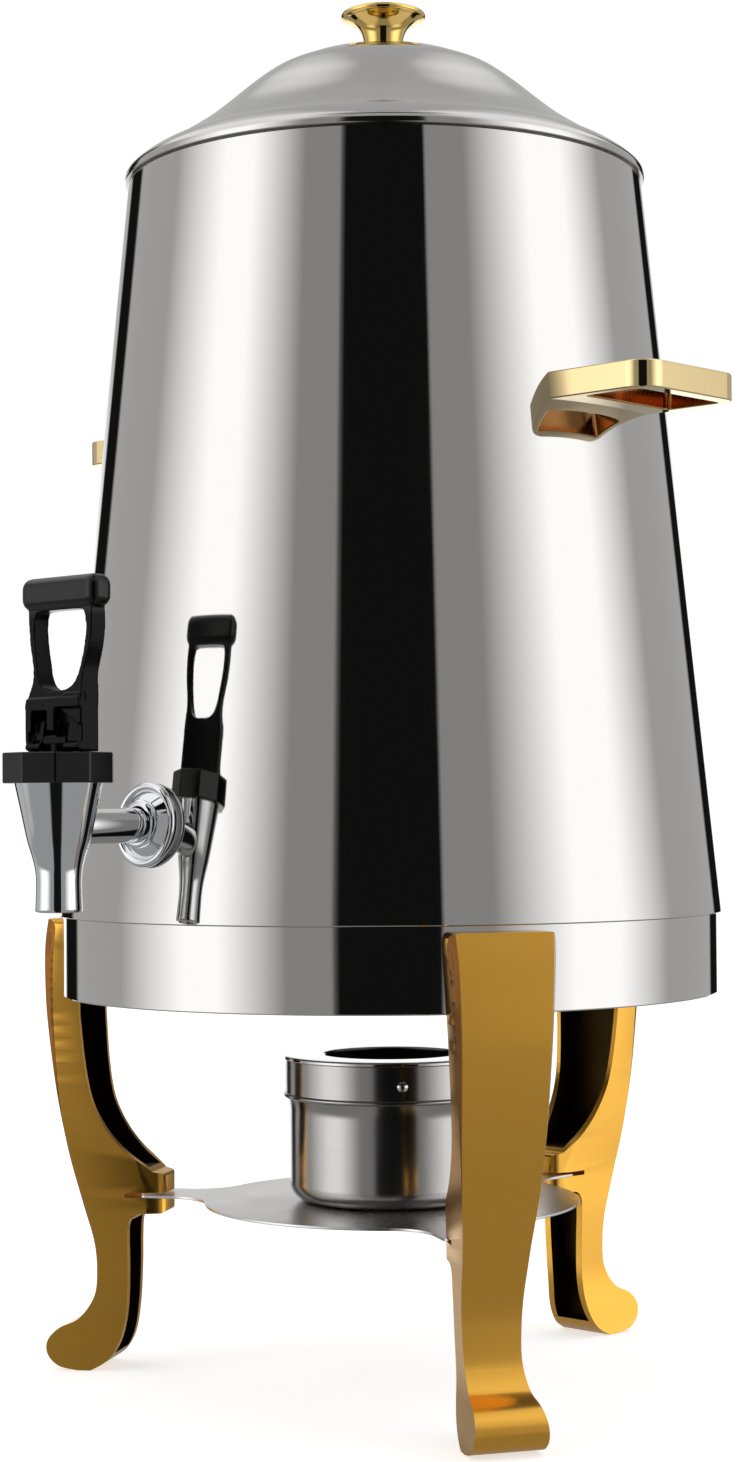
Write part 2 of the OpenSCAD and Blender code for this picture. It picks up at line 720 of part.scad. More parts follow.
plate_t = 2;
back_t = 1.2;
plate_end_x = 1.7;
arch_x = [-12, -2];
arch_drop = 3.6;         // from the fork's top down to the arch
arch_corner = 1.4;
web_x = 2.8;

module lever_fork() {
    // solid shoulder under the frame
    across_x(-fork_half, fork_half) polygon([
        [fork_y[1], fork_top_z - 3], [fork_y[0] + 1, fork_top_z - 3], [fork_y[0], fork_top_z - 2],
        [fork_y[0], fork_top_z], [fork_y[1], fork_top_z]
    ]);
    // back wall, clear of the stem's eye
    translate([-fork_half, fork_y[1] - back_t, fork_foot_z]) cube([2 * fork_half, back_t, fork_top_z - fork_foot_z]);
    // cheeks with the heels inside them
    for (s = [-1, 1]) mirror([s < 0 ? 1 : 0, 0, 0]) across_x(heel_x, fork_half) heel_side();
    across_x(fork_half - cheek_t, fork_half) cheek_side(cheek_front);
    across_x(-fork_half, cheek_t - fork_half) cheek_side(fork_y[0]);
    // front plate with an arch on one side, a sloping web on the other
    across_y(fork_y[0], fork_y[0] + plate_t) difference() {
        translate([-fork_half, pin_z + 3.6]) square([fork_half + plate_end_x, fork_top_z - pin_z - 3.6]);
        rounded(arch_x[0], arch_x[1], 0, fork_top_z - arch_drop, arch_corner);
    }
    across_y(cheek_front, cheek_front + plate_t) polygon([
        [web_x, fork_top_z], [web_x, fork_top_z - 3.4], [15, fork_top_z - 9.1], [fork_half, fork_top_z - 9.1],
        [fork_half, fork_top_z]
    ]);
}

module lever()
    color(black) difference() {
        union() {
            lever_frame();
            lever_grip();
            lever_fork();
        }
        at_pin(-14.2) cylinder(r = pin_r, h = 28.4, $fn = small_fn);
    }

module lever_pin() color(black) at_pin(-14) cylinder(r = pin_r, h = 28, $fn = small_fn);

// ---------- lid ----------

lid_edge_r = 113;
lid_hem_r = 109.6;       // the hem turned in under the edge, resting on the tank's rim
lid_curve = spline([
    [0, lid_h], [12, lid_h], [24, lid_h - 0.2], [33, lid_h - 1.6], [41, lid_h - 4.5], [50, lid_h - 8.6], [60, lid_h - 15.9],
    [70, lid_h - 24.4], [80, lid_h - 32.5], [90, lid_h - 39.3], [98, lid_h - 44.2], [104, lid_h - 47.2],
    [108.6, lid_h - 50.2], [111.6, lid_h - 52.6], [112.8, lid_h - 54.3], [lid_edge_r, lid_h - 56.2]
], 3);
lid_underside = [for (q = shifted(lid_curve, lid_t)) [max(q[0], 0), q[1]]];

module lid_shell()
    color(steel) difference() {
        translate([0, 0, body_rim_z]) revolve(concat(
            lid_curve,
            [[lid_edge_r, rim_t], [lid_hem_r, rim_t], [lid_hem_r, rim_t + 0.6], [lid_edge_r - lid_t, rim_t + 0.6]],
            reversed(lid_underside)
        ), 128);
        cylinder(r = knob_screw_r + fit, h = far * 2, $fn = small_fn);
    }

collar_r = mouth_r - tank_t - 0.6;
collar_h = 12;

// keeps the lid central in the mouth of the tank
module lid_collar()
    color(satin_steel) intersection() {
        ring(collar_r, collar_r - 1, body_rim_z - collar_h, body_rim_z + 20, 128);
        translate([0, 0, body_rim_z]) revolve(concat(
            [[0, -2 * collar_h], [110, -2 * collar_h]],
            reversed([for (q = lid_underside) if (q[0] < 110) q])
        ), 128);
    }

knob_screw_r = 2.5;
lid_top_z = body_rim_z + lid_h;
knob_h = 19.9;
knob_edge_r = 1.4;

module knob()
    color(gold) difference() {
        translate([0, 0, lid_top_z]) revolve(concat(
            [[0, 0], [9.2, 0]],
            spline([[9.2, 1], [8.5, 4], [8.6, 8], [10, 12.2], [13, 15.4], [16.2, 17.1]], 4),
            arc([knob_r - knob_edge_r, knob_h - knob_edge_r], knob_edge_r, -55, 60, 6),
            [[knob_r - 2.6, knob_h], [0, knob_h - 0.6]]
        ), 64);
        translate([0, 0, lid_top_z - 1]) cylinder(r = knob_screw_r + fit, h = 11, $fn = small_fn);
    }

module knob_washer()
    color(zinc) ring(8, knob_screw_r + fit, lid_top_z - lid_t - 1, lid_top_z - lid_t, small_fn);

module knob_screw()
    color(zinc) translate([0, 0, lid_top_z - lid_t - 1]) {
        cylinder(r = knob_screw_r, h = 10.5, $fn = small_fn);
        translate([0, 0, -2.8]) cylinder(r1 = 3.4, r2 = 4.6, h = 2.8, $fn = small_fn);
    }

stand_ring();
leg_front_right();
leg_rear();
leg_front_left();
leg_screws();
leg_washers();
shelf_plate();
fuel_cup();
cup_band();
band_rivets();
cup_lid();
outer_shell();
inner_tank();
base_ring();
handle_left();
handle_right();
handle_backing_plates();
handle_screws();
tap_shank();
wall_spacer();
outer_gasket();
escutcheon();
inner_gasket();
lock_nut();
tap_body();
bonnet_gasket();
bonnet();
stem_seal();
tap_spring();
stem();
seat_cup();
lever();
lever_pin();
lid_shell();
lid_collar();
knob();
knob_washer();
knob_screw();
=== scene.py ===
"""Coffee urn in mirror-polished steel with gold fittings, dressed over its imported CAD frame."""
import math

import bpy
from mathutils import Matrix, Vector


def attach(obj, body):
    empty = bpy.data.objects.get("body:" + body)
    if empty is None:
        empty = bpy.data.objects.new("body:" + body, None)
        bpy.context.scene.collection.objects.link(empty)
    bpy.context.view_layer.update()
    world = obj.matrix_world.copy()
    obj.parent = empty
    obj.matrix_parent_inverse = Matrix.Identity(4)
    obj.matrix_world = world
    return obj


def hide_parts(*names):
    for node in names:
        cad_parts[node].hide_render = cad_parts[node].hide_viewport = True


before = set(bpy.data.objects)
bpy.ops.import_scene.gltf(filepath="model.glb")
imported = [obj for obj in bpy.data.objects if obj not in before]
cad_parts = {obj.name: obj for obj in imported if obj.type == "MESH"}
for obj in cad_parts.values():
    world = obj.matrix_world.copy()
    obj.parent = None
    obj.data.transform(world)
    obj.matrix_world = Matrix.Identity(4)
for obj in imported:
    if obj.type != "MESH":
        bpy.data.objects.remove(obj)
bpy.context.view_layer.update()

MM = 0.001


# ---------- drawing helpers ----------

def mm(x, y, z):
    return Vector((x, y, z)) * MM


def curve_through(points, steps):
    """a smooth line through the points, with steps to each span"""
    line = []
    for i in range(len(points) - 1):
        a, b = points[max(i - 1, 0)], points[i]
        c, d = points[i + 1], points[min(i + 2, len(points) - 1)]
        for k in range(steps):
            t = k / steps
            line.append(tuple(
                0.5 * (2 * q + (r - p) * t + (2 * p - 5 * q + 4 * r - s) * t ** 2
                       + (3 * q - p - 3 * r + s) * t ** 3)
                for p, q, r, s in zip(a, b, c, d)))
    return line + [tuple(points[-1])]


def arc(cx, cy, r, start, end, steps):
    """points on a circle from one angle to another, in degrees"""
    angles = [math.radians(start + (end - start) * i / steps) for i in range(steps + 1)]
    return [(cx + r * math.cos(a), cy + r * math.sin(a)) for a in angles]


def mode(name):
    bpy.ops.object.mode_set(mode=name)


def select_only(*pieces):
    bpy.ops.object.select_all(action="DESELECT")
    for piece in pieces:
        piece.select_set(True)
    bpy.context.view_layer.objects.active = pieces[0]


def draw_line(points):
    """draws a line of points by extruding one vertex, and stays in edit mode with all selected"""
    bpy.ops.object.select_all(action="DESELECT")
    bpy.ops.mesh.primitive_plane_add(size=MM, location=points[0])
    bpy.ops.object.transform_apply(location=True, rotation=True, scale=True)
    mode("EDIT")
    bpy.ops.mesh.merge(type="CENTER")
    for here, there in zip(points, points[1:]):
        bpy.ops.mesh.extrude_region_move(TRANSFORM_OT_translate={"value": there - here})
    bpy.ops.mesh.select_all(action="SELECT")
    return bpy.context.object


def lathe(profile, steps=128):
    """turns a line of (radius, height) points about the upright axis"""
    piece = draw_line([mm(r, 0, z) for r, z in profile])
    bpy.ops.mesh.spin(steps=steps, angle=2 * math.pi, center=(0, 0, 0), axis=(0, 0, 1))
    bpy.ops.mesh.select_all(action="SELECT")
    bpy.ops.mesh.remove_doubles(threshold=1e-6)
    bpy.ops.mesh.normals_make_consistent(inside=False)
    mode("OBJECT")
    return piece


def slab(outline, thickness):
    """fills a closed outline of points and extrudes it by a vector"""
    piece = draw_line(outline)
    bpy.ops.mesh.edge_face_add()
    bpy.ops.mesh.extrude_region_move(TRANSFORM_OT_translate={"value": thickness})
    bpy.ops.mesh.select_all(action="SELECT")
    bpy.ops.mesh.normals_make_consistent(inside=False)
    mode("OBJECT")
    return piece


def across(outline, x0, x1):
    """a slab from a side view of (y, z) points, thick along x"""
    return slab([mm(x0, y, z) for y, z in outline], mm(x1 - x0, 0, 0))


def facing(outline, y0, y1):
    """a slab from a front view of (x, z) points, thick along y"""
    return slab([mm(x, y0, z) for x, z in outline], mm(0, y1 - y0, 0))


def turned(piece, turn=(0, 0, 0), move=(0, 0, 0)):
    """turns a piece about the origin, then moves it, and puts both into its mesh"""
    select_only(piece)
    piece.rotation_euler = [math.radians(a) for a in turn]
    piece.location = mm(*move)
    bpy.ops.object.transform_apply(location=True, rotation=True, scale=True)
    return piece


def modify(piece, kind, **settings):
    """adds a modifier to a piece and applies it"""
    select_only(piece)
    modifier = piece.modifiers.new(kind.lower(), kind)
    for key, value in settings.items():
        setattr(modifier, key, value)
    bpy.ops.object.modifier_apply(modifier=modifier.name)
    return piece


def cut(piece, *tools, surface=None):
    """cuts the tools out of a piece, whose cut faces take the surface's material if one is given"""
    for tool in tools:
        if surface:
            tool.data.materials.append(surface)
        modify(piece, "BOOLEAN", operation="DIFFERENCE", solver="EXACT", object=tool,
               material_mode="TRANSFER" if surface else "INDEX")
        bpy.data.objects.remove(tool)
    return piece


def fuse(piece, *others):
    """joins other pieces to a piece"""
    for other in others:
        modify(piece, "BOOLEAN", operation="UNION", solver="EXACT", object=other)
        bpy.data.objects.remove(other)
    return piece


def keep_common(piece, other, surface=None):
    """keeps what a piece has in common with another, with the surface's material on the new faces"""
    if surface:
        other.data.materials.append(surface)
    modify(piece, "BOOLEAN", operation="INTERSECT", solver="EXACT", object=other,
           material_mode="TRANSFER" if surface else "INDEX")
    bpy.data.objects.remove(other)
    return piece


def round_edges(piece, width, segments=3, angle=40):
    """rounds the edges that turn by more than the angle, over a width in mm"""
    return modify(piece, "BEVEL", width=width * MM, segments=segments, limit_method="ANGLE",
                  angle_limit=math.radians(angle), use_clamp_overlap=True)


def rod(radius, length, steps=48):
    """an upright rod from the origin, for boring holes"""
    return lathe([(0, 0), (radius, 0), (radius, length), (0, length)], steps)


def copied(piece):
    twin = piece.copy()
    twin.data = piece.data.copy()
    bpy.context.collection.objects.link(twin)
    return twin


def fit(piece, name, body, slot, material, *nodes, angle=35, flat_faces=True):
    """names and shades a finished piece, and puts it on its body in place of its nodes"""
    select_only(piece)
    bpy.ops.object.shade_smooth_by_angle(angle=math.radians(angle))
    if flat_faces:
        modify(piece, "WEIGHTED_NORMAL", mode="FACE_AREA", keep_sharp=True)
    piece.name = name
    piece.data.name = name
    if not piece.data.materials:
        piece.data.materials.append(material)
    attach(piece, body)
    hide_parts(*nodes)
    return piece


# ---------- materials ----------

def tint(code):
    """a hex colour as linear values"""
    parts = [int(code[i:i + 2], 16) / 255 for i in (1, 3, 5)]
    return tuple(c / 12.92 if c <= 0.04045 else ((c + 0.055) / 1.055) ** 2.4 for c in parts) + (1.0,)


def add(tree, kind, inputs=None, **settings):
    """adds a node: settings go on the node, inputs are values or the sockets that feed it"""
    node = tree.nodes.new(kind)
    for key, value in settings.items():
        setattr(node, key, value)
    for key, value in (inputs or {}).items():
        if isinstance(value, bpy.types.NodeSocket):
            tree.links.new(value, node.inputs[key])
        else:
            node.inputs[key].default_value = value
    return node


def new_material(name):
    material = bpy.data.materials.new(name)
    material.use_nodes = True
    material.node_tree.nodes.clear()
    return material, material.node_tree


def finish_of(name, colour, roughness, grain, metal=1.0, spread=0.3, depth=0.002, coarse=0.0, wear=0.92,
              ior=1.5):
    """a surface whose colour and gloss vary a little, with its tool marks as a fine bump.
    grain is the size in mm of a mark along x, y and z, depth its height in mm,
    coarse the height in mm of the slow waviness left by the buffing wheel,
    wear how dark the colour gets in the marks, spread how far the gloss varies"""
    material, tree = new_material(name)
    place = add(tree, "ShaderNodeTexCoord").outputs["Object"]
    scale = tuple(1 / (g * MM) for g in grain)
    marks = add(tree, "ShaderNodeMapping", {"Vector": place, "Scale": scale})
    lines = add(tree, "ShaderNodeTexNoise", {"Vector": marks.outputs["Vector"], "Scale": 1.0, "Detail": 3.0})
    cloud = add(tree, "ShaderNodeTexNoise", {"Vector": place, "Scale": 1 / (45 * MM), "Detail": 4.0})
    gloss = add(tree, "ShaderNodeMapRange", {
        "Value": cloud.outputs["Fac"], "From Min": 0.3, "From Max": 0.7,
        "To Min": roughness * (1 - spread), "To Max": roughness * (1 + spread)})
    worn = [c * wear for c in tint(colour)[:3]] + [1.0]
    shade = add(tree, "ShaderNodeMixRGB", {
        "Fac": lines.outputs["Fac"], "Color1": worn, "Color2": tint(colour)})
    slow = add(tree, "ShaderNodeTexNoise", {"Vector": place, "Scale": 1 / (70 * MM), "Detail": 0.0})
    swell = add(tree, "ShaderNodeBump", {
        "Height": slow.outputs["Fac"], "Strength": 1.0, "Distance": coarse * MM})
    fine = add(tree, "ShaderNodeBump", {
        "Height": lines.outputs["Fac"], "Strength": 1.0, "Distance": depth * MM,
        "Normal": swell.outputs["Normal"]})
    shader = add(tree, "ShaderNodeBsdfPrincipled", {
        "Base Color": shade.outputs["Color"], "Metallic": metal, "IOR": ior,
        "Roughness": gloss.outputs["Result"], "Normal": fine.outputs["Normal"]})
    add(tree, "ShaderNodeOutputMaterial", {"Surface": shader.outputs["BSDF"]})
    return material


# rolled 304 sheet buffed to a mirror: sharp reflections with a barely seen waviness
mirror_steel = finish_of("mirror_polished_304_stainless", "#CDCCCA", 0.035, (0.4, 0.4, 0.4),
                         spread=0.4, depth=0.00002, coarse=0.012, wear=0.985)
# the same sheet spun to a dome: the buffing leaves a softer gloss
spun_steel = finish_of("buffed_spun_stainless", "#CDCCCA", 0.09, (9, 9, 0.5), spread=0.3, depth=0.0001,
                       coarse=0.02, wear=0.97)
# drawn cup turned on a lathe: fine rings round it, a darker and softer gloss
turned_steel = finish_of("lathe_polished_stainless", "#B3B0AE", 0.17, (30, 30, 0.35), spread=0.25,
                         depth=0.0008, coarse=0.03, wear=0.9)
# the inside of the cup and its lid: nearly black and dull, painted shade for the dark inside of the cup
cup_inside_painted_shade = finish_of("stainless_inside_painted_shade", "#141311", 0.6, (4, 4, 4), metal=0.0, spread=0.2,
                         depth=0.004, wear=0.6)
# cold-rolled plate with a straight brushed grain: pale streaks one way, blurred reflections
brushed_plate = finish_of("brushed_stainless_plate", "#EDECEA", 0.3, (25, 0.35, 25), spread=0.2, depth=0.0015,
                          wear=0.93)
# the tank's inside: bright annealed sheet as it comes from the press, a soft grey gloss
pressed_steel = finish_of("bright_annealed_stainless", "#B7B6B4", 0.24, (20, 20, 0.6), spread=0.2,
                          depth=0.001, wear=0.9)
# cast legs plated and lacquered in gold: an even warm gloss with the casting's fine ripple
cast_gold = finish_of("gold_plated_casting", "#F0B54C", 0.25, (1.6, 1.6, 1.6), spread=0.06,
                      depth=0.0012, coarse=0.02, wear=0.95)
# the legs' bevelled front edges: a darker, browner gold, which is painted shade on these faces turned from
# the light
bevel_painted_shade = finish_of("gold_plated_bevel_painted_shade", "#85592A", 0.25, (1.6, 1.6, 6), spread=0.06,
                       depth=0.0012, coarse=0.02, wear=0.9)
# the legs' hollow backs, left as cast under the gold: rough and dull, and painted a dark brown as the shade
# in the hollow
rough_hollow_painted_shade = finish_of("casting_hollow_painted_shade", "#5A4524", 0.55, (1.2, 1.2, 1.2), spread=0.2, depth=0.02,
                        coarse=0.02, wear=0.7)
# gold plate over polished brass: clear yellow mirror
bright_gold = finish_of("bright_gold_plated_brass", "#EBD39E", 0.06, (0.5, 0.5, 0.5), spread=0.3,
                        depth=0.00005, coarse=0.006, wear=0.97)
# the same plate inside the handles' loops: less buffed, so a softer gloss, and a deep brown that is painted
# shade within the loops
inner_loop_painted_shade = finish_of("gold_plate_inside_loops_painted_shade", "#C98F58", 0.12, (0.5, 0.5, 0.5), spread=0.3,
                      depth=0.0002, coarse=0.01, wear=0.95)
# gold plate on the knob: a deeper yellow
knob_gold = finish_of("gold_plated_knob_brass", "#EFCB76", 0.07, (0.5, 0.5, 0.5), spread=0.3, depth=0.00005,
                      coarse=0.006, wear=0.97)
# decorative chrome on the tap: a cool dark-edged mirror
chrome = finish_of("chromed_brass", "#E2E4E5", 0.05, (0.5, 0.5, 0.5), spread=0.3, depth=0.00005, coarse=0.006,
                   wear=0.98)
# moulded glass-filled nylon: deep black with a satin skin
black_nylon = finish_of("moulded_black_nylon", "#060607", 0.22, (0.25, 0.25, 0.25), metal=0.0, spread=0.2,
                        depth=0.004, wear=0.8, ior=1.42)
# the same nylon on the lever: full gloss on the grip, weaker reflections on the arms and fork below it,
# painted shade that darkens them
lever_nylon = finish_of("moulded_black_nylon_lever", "#060607", 0.22, (0.25, 0.25, 0.25), metal=0.0,
                        spread=0.2, depth=0.004, wear=0.8, ior=1.42)
tree = lever_nylon.node_tree
lever_height = add(tree, "ShaderNodeSeparateXYZ", {
    "Vector": tree.nodes["Texture Coordinate"].outputs["Object"]}).outputs["Z"]
# below the grip the reflection is turned down, as painted shade on the arms and fork
arm_painted_shade = add(tree, "ShaderNodeMapRange", {
    "Value": lever_height, "From Min": 320 * MM, "From Max": 324 * MM, "To Min": 0.14, "To Max": 0.5})
tree.links.new(arm_painted_shade.outputs["Result"], tree.nodes["Principled BSDF"].inputs["Specular IOR Level"])
# black oxide on the lever's steel pin: dark and faintly glossy
black_steel = finish_of("black_oxide_steel", "#0E0E10", 0.35, (0.5, 0.5, 0.5), spread=0.2, depth=0.001)
# moulded silicone rubber: milky white, dull
silicone = finish_of("moulded_silicone_rubber", "#DDDCD6", 0.6, (0.3, 0.3, 0.3), metal=0.0, depth=0.004)
# zinc on steel screws, plates and nuts: a pale blue-grey sheen, slightly patchy
zinc = finish_of("zinc_plated_steel", "#AEB3B8", 0.33, (0.6, 0.6, 0.6), spread=0.35, depth=0.002, wear=0.85)


# ---------- body, ring and tank ----------

FOOT_Z, RIM_Z = 200.6, 515.6
FOOT_R, RIM_R = 143.0, 111.4
SHELL_T, TANK_T = 1.0, 0.8


def shell_r(z):
    """outside radius of the urn's wall at a height"""
    return FOOT_R + (z - FOOT_Z) * (RIM_R - FOOT_R) / (RIM_Z - FOOT_Z)


WALL_TILT = math.degrees(math.atan((FOOT_R - RIM_R) / (RIM_Z - FOOT_Z)))


def wall_cone(bottom, top, inset=0.0):
    """the solid cone inside the wall, for trimming what is fixed to it"""
    return lathe([(0, bottom), (shell_r(bottom) - inset, bottom), (shell_r(top) - inset, top), (0, top)], 256)


# the wall: one sheet rolled to a cone, its foot edge just broken
outer_shell = lathe([
    (FOOT_R - 0.3, FOOT_Z), (FOOT_R - 0.06, FOOT_Z + 0.25), *[(shell_r(z), z) for z in range(204, 514, 10)],
    (shell_r(RIM_Z), RIM_Z), (RIM_R - SHELL_T, RIM_Z), (FOOT_R - SHELL_T, FOOT_Z), (FOOT_R - 0.3, FOOT_Z)],
    256)

# the drink tank, its rim folded out over the wall
JACKET, TANK_CORNER = 9, 14
tank_corner_z = 215.8
tank_turn_r = shell_r(tank_corner_z) - JACKET
neck_r = shell_r(491.6) - JACKET
inner_tank = lathe([
    (0, 201.8), (118.5, 201.8), *arc(tank_turn_r - TANK_CORNER, tank_corner_z, TANK_CORNER, -80, 0, 10),
    (neck_r, 491.6), (109.3, 498.6), (109.3, RIM_Z), (110.9, RIM_Z), (RIM_R, RIM_Z + 0.3),
    (110.9, RIM_Z + TANK_T), (109.0, RIM_Z + TANK_T), (108.5, RIM_Z + 0.3), (108.5, 498.6),
    (neck_r - TANK_T, 491.6),
    *arc(tank_turn_r - TANK_CORNER, tank_corner_z, TANK_CORNER - TANK_T, 0, -80, 10),
    (118.5, 202.6), (0, 202.6)], 192)

# the stand's ring: a plain band with a flange under the urn and a hem at its lower edge
stand_ring = lathe([
    (140.5, 166.5), (141, 167), (141, 200.1), (140.8, 200.5), (140.4, 200.6), (132, 200.6), (132, 199.1),
    (139.5, 199.1), (139.5, 168), (137.5, 168), (137.5, 166.5), (140.5, 166.5)], 256)


# ---------- legs ----------

RING_R, LEG_TOP = 141.0, 198.0
LEG_ANGLES = {"leg_front_right": -30, "leg_rear": 90, "leg_front_left": -150}
LEG_WALL = 2.6

leg_front = curve_through([
    (149.5, LEG_TOP), (151.4, 185), (151.5, 165), (150.4, 149), (147, 122), (141.7, 94), (136.2, 73),
    (131.6, 57), (130.4, 44), (131.9, 32), (138.8, 22.3), (147.6, 18), (152.6, 12.6), (152.4, 6.6),
    (147.4, 1.8), (139, 0)], 6)
leg_back = curve_through([
    (133, 0), (125.4, 4.6), (120, 13.5), (117.4, 27), (116.6, 44), (116.6, 57), (116, 64.6), (112.8, 68),
    (105.2, 68.5)], 6)
# the nose that holds the shelf plate
leg_back += arc(102.5, 71, 2.5, 270, 180, 5) + arc(102.5, 83.6, 2.5, 180, 100, 5)
leg_back += curve_through([
    (105.2, 86.6), (108.6, 89.4), (117.3, 96.3), (125, 105.5), (131, 117.4), (134.1, 133.5), (136, 155)], 6)
leg_outline = leg_front + leg_back + [(136, LEG_TOP)]
# half the leg's width, taken where the flanks' turning lines stand
FLANK_X, FLANK_TURN = 140, 9
flank_half = curve_through([
    (15.4, 0), (14.9, 4), (14.4, 10), (13.9, 16), (13.4, 22), (13.3, 30), (13.8, 44), (14.4, 60), (14.9, 77),
    (16.2, 96), (17.7, 120), (18.9, 140), (20.2, 163), (21.3, 180), (22.1, 192), (21.9, 195.4), (20.8, 197.4),
    (18.6, LEG_TOP)], 4)
# the outer faces of the flanks stand a little squarer than the walls behind them
SIDE_X, SIDE_TURN = 128, 5.5
side_half = [(w + (SIDE_X - FLANK_X) * math.tan(math.radians(FLANK_TURN)), z) for w, z in flank_half]
# the front edges are bevelled above the nose, most at the top
BEVEL_X, BEVEL_TURN = 150, -26.6
bevel_half = [(40, 0), (40, 77.4)] + curve_through([
    (9, 77.5), (11.4, 94), (15.4, 120), (18.1, 150), (19.2, 168), (19.8, 185), (19.6, LEG_TOP)], 4)


def flanks(x, turn, half):
    """two slabs whose common part is all within a leg's flanks: each flank is an upright sheet
    turned about the distance x from the urn's axis"""
    slabs = []
    for side in (1, -1):
        c = side * math.cos(math.radians(turn))
        outline = [(-50 * side, -1), (half[0][0] * c, -1), *[(w * c, z) for w, z in half]]
        outline += [(half[-1][0] * c, LEG_TOP + 3), (-50 * side, LEG_TOP + 3)]
        slabs.append(turned(across(outline, -90, 60), (0, 0, side * turn), (x, 0, 0)))
    return slabs


def leg_channel(front, foot, top):
    """one stretch of the channel cast into a leg's back"""
    channel = facing(front + foot + [(90, foot[-1][1] if foot else front[-1][1]), (90, top)], -40, 40)
    for sheet in flanks(FLANK_X, FLANK_TURN, [(w - LEG_WALL, z) for w, z in flank_half]):
        keep_common(channel, sheet)
    return channel


def make_leg():
    leg = facing(leg_outline, -40, 40)
    leg.data.materials.append(cast_gold)
    for sheet in flanks(SIDE_X, SIDE_TURN, side_half):
        keep_common(leg, sheet)
    # the bevels' faces take the darker gold of painted shade
    for sheet in flanks(BEVEL_X, BEVEL_TURN, bevel_half):
        keep_common(leg, sheet, surface=bevel_painted_shade)
    # the nose's end, rounded off on both sides
    for side in (1, -1):
        corner = [(116, 14), *arc(105, 4.4, 5, 100, 180, 6), (90, 4.4), (90, 30), (116, 30)]
        cut(leg, slab([mm(x, side * y, -1) for x, y in corner], mm(0, 0, 95)))
    modify(leg, "WELD", merge_threshold=0.12 * MM)
    round_edges(leg, 0.6, 3, 40)
    inside = [(x - LEG_WALL, at_z) for x, at_z in leg_front]
    upper = [(x, z) for x, z in inside if 92 < z < 194]
    lower = [(x, z) for x, z in inside if 24 < z < 64]
    # the channels' walls take the hollow's dark brown painted shade
    cut(leg,
        leg_channel([(upper[0][0], 194.6)] + upper + [(138.6, 91), (137.4, 89.2), (135.4, 88.5)], [], 194.6),
        leg_channel([(127, 65.5), (129, 64.9), (130, 63.4)] + lower[1:],
                    [(133.5, 17), (132, 11.4), (129.4, 8.2), (125, 7)], 65.5),
        surface=rough_hollow_painted_shade)
    # the slot for the shelf plate's tongue
    slot_z, slot_height = 75.6, 2
    slot = [(90, -25), (117.6, -25), (117.6, 25), (90, 25)]
    cut(leg, slab([mm(x, y, slot_z) for x, y in slot], mm(0, 0, slot_height)))
    # the hollow that takes the ring's outside
    cut(leg, lathe([(0, 166.5), (RING_R, 166.5), (RING_R, 210), (0, 210)], 256))
    return leg


leg_pattern = make_leg()
for name, angle in LEG_ANGLES.items():
    leg = turned(copied(leg_pattern), (0, 0, angle))
    fit(leg, "cast_" + name, "stand", "gold_plate", cast_gold, name)
bpy.data.objects.remove(leg_pattern)


# ---------- shelf plate ----------

SHELF_Z, SHELF_T, SHELF_R = 76.8, 1.2, 81.0
TONGUE_HALF, TONGUE_END, FILLET = 12.0, 110.5, 20.0
fillet_v = TONGUE_HALF + FILLET
fillet_u = math.sqrt((SHELF_R + FILLET) ** 2 - fillet_v ** 2)
fillet_turn = math.degrees(math.atan2(fillet_v, fillet_u))
third = arc(fillet_u, -fillet_v, FILLET, 180 - fillet_turn, 90, 10)
third += arc(TONGUE_END - 2, -TONGUE_HALF + 2, 2, -90, 0, 4)
third += arc(TONGUE_END - 2, TONGUE_HALF - 2, 2, 0, 90, 4)
third += arc(fillet_u, fillet_v, FILLET, 270, 180 + fillet_turn, 10)
third += arc(0, 0, SHELF_R, fillet_turn, 120 - fillet_turn, 32)[1:-1]
plate_outline = []
for angle in sorted(LEG_ANGLES.values()):
    c, s = math.cos(math.radians(angle)), math.sin(math.radians(angle))
    plate_outline += [mm(x * c - y * s, x * s + y * c, SHELF_Z - SHELF_T) for x, y in third]
shelf_plate = slab(plate_outline, mm(0, 0, SHELF_T))
round_edges(shelf_plate, 0.25, 2, 60)


# ---------- burner ----------

CUP_R, CUP_T, CUP_TOP, BAND_R, SEAT_Z = 45.0, 0.6, 136.4, 45.9, 137.8
# the cup draws in a little under its band
NECK_R, NECK_TOP, NECK_FOOT, CUP_CORNER = CUP_R - 1.1, 121.5, 114.5, 8


def cup_wall(inset):
    """the cup's outline up to its mouth, the inset within its outside"""
    steps = [(1 - math.cos(math.radians(a))) / 2 for a in range(0, 181, 20)]
    neck = [(NECK_R - inset + (CUP_R - NECK_R) * t ** 2, NECK_FOOT + (NECK_TOP - NECK_FOOT) * t)
            for t in steps]
    foot = arc(NECK_R - CUP_CORNER, SHELF_Z + CUP_CORNER, CUP_CORNER - inset, -90, 0, 12)
    return [(0, SHELF_Z + inset), *foot, *neck]


fuel_cup = lathe(cup_wall(0) + [(CUP_R, CUP_TOP), (0, CUP_TOP), (0, SHELF_Z)], 160)
fuel_cup.data.materials.append(turned_steel)
cup_hollow = cup_wall(CUP_T) + [(CUP_R - CUP_T, CUP_TOP + 1), (0, CUP_TOP + 1), (0, SHELF_Z + CUP_T)]
# the cup's inside takes the nearly black painted shade
cut(fuel_cup, lathe(cup_hollow, 160), surface=cup_inside_painted_shade)
